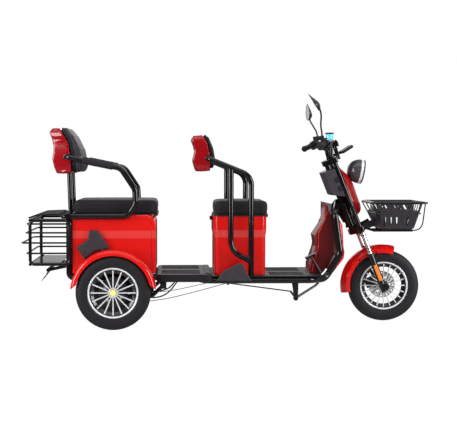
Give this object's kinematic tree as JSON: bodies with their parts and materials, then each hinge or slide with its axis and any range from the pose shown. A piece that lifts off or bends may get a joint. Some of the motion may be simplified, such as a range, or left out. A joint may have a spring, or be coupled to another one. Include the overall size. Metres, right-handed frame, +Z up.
{
  "type": "electric tricycle",
  "caption": "Electric tricycle with a driver's seat, a passenger bench, red box bodies, a black tube frame, front and rear baskets and a steered front wheel.",
  "frame": {"origin": "on the ground under the middle of the vehicle's length and width", "axes": "+X forward, +Y to the vehicle's left, +Z up"},
  "size_m": [2.306, 0.776, 1.299],
  "materials": {
    "red_paint": "gloss",
    "frame_black": "gloss",
    "deck_plastic": "matte",
    "grey_plastic": "satin",
    "seat_leather": "satin",
    "tyre_rubber": "matte",
    "rim_alloy": "polished",
    "cast_grey": "satin",
    "chrome": "polished",
    "lens_glass": "clear",
    "amber_plastic": "gloss",
    "grip_rubber": "matte"
  },
  "bodies": {
    "chassis": {"main_frame": "frame_black", "floor_deck": "deck_plastic", "leg_shield": "red_paint", "inner_shield": "red_paint", "driver_box": "red_paint", "driver_rails": "frame_black", "rail_covers": "grey_plastic", "driver_backrest_shell": "red_paint", "driver_backrest_pad": "seat_leather", "rear_box": "red_paint", "side_trims": "grey_plastic", "rear_fenders": "red_paint", "rear_backrest_shell": "red_paint", "rear_backrest_pad": "seat_leather", "bench_frame": "frame_black", "arm_grips": "grip_rubber", "rear_basket": "frame_black", "rear_basket_tray": "frame_black", "plate_bracket": "frame_black", "rear_axle": "cast_grey", "drive_motor": "cast_grey", "swing_arms": "frame_black", "shocks": "frame_black", "box_latch": "deck_plastic", "brake_pedal": "frame_black", "brake_cables": "chrome", "motor_cables": "grip_rubber"},
    "basket_lid": {"rear_basket_lid": "frame_black"},
    "driver_seat": {"driver_seat_pan": "deck_plastic", "driver_seat": "seat_leather"},
    "bench": {"bench_pan": "deck_plastic", "bench_cushion": "seat_leather"},
    "rear_wheel_left": {"rear_tyre_left": "tyre_rubber", "rear_rim_left": "rim_alloy", "rear_drum_left": "cast_grey"},
    "rear_wheel_right": {"rear_tyre_right": "tyre_rubber", "rear_rim_right": "rim_alloy", "rear_drum_right": "cast_grey"},
    "steering": {"fork_yokes": "frame_black", "fork_tubes": "chrome", "fork_sliders": "frame_black", "fork_reflectors": "amber_plastic", "brake_caliper": "cast_grey", "display": "lens_glass", "hand_controls": "deck_plastic", "mirrors": "deck_plastic", "column_cover": "grey_plastic", "fairing": "red_paint", "headlight": "deck_plastic", "headlight_lens": "lens_glass", "instrument": "deck_plastic", "handlebar": "frame_black", "handlebar_grips": "grip_rubber", "front_fender": "red_paint", "front_basket": "deck_plastic", "basket_bracket": "frame_black"},
    "front_wheel": {"front_tyre": "tyre_rubber", "front_rim": "rim_alloy", "brake_disc": "chrome"}
  },
  "joints": [
    {"name": "rear_wheel_left_spin", "type": "hinge", "parent": "chassis", "child": "rear_wheel_left", "pos_m": [-0.641, 0.342, 0.2065], "axis": [0, 1, 0], "continuous": true},
    {"name": "rear_wheel_right_spin", "type": "hinge", "parent": "chassis", "child": "rear_wheel_right", "pos_m": [-0.641, -0.342, 0.2065], "axis": [0, 1, 0], "continuous": true},
    {"name": "steering_turn", "type": "hinge", "parent": "chassis", "child": "steering", "pos_m": [0.936, 0, 0], "axis": [-0.3665, 0, 0.9304], "range_deg": [-35, 35]},
    {"name": "front_wheel_spin", "type": "hinge", "parent": "steering", "child": "front_wheel", "pos_m": [0.908, 0, 0.2065], "axis": [0, 1, 0], "continuous": true},
    {"name": "driver_seat_lift", "type": "hinge", "parent": "chassis", "child": "driver_seat", "pos_m": [0.219, 0, 0.6127], "axis": [0, 1, 0], "range_deg": [0, 75]},
    {"name": "bench_lift", "type": "hinge", "parent": "chassis", "child": "bench", "pos_m": [-0.401, 0, 0.6247], "axis": [0, 1, 0], "range_deg": [0, 75]},
    {"name": "basket_lid_lift", "type": "hinge", "parent": "chassis", "child": "basket_lid", "pos_m": [-0.923, 0, 0.613], "axis": [0, 1, 0], "range_deg": [0, 80]}
  ]
}
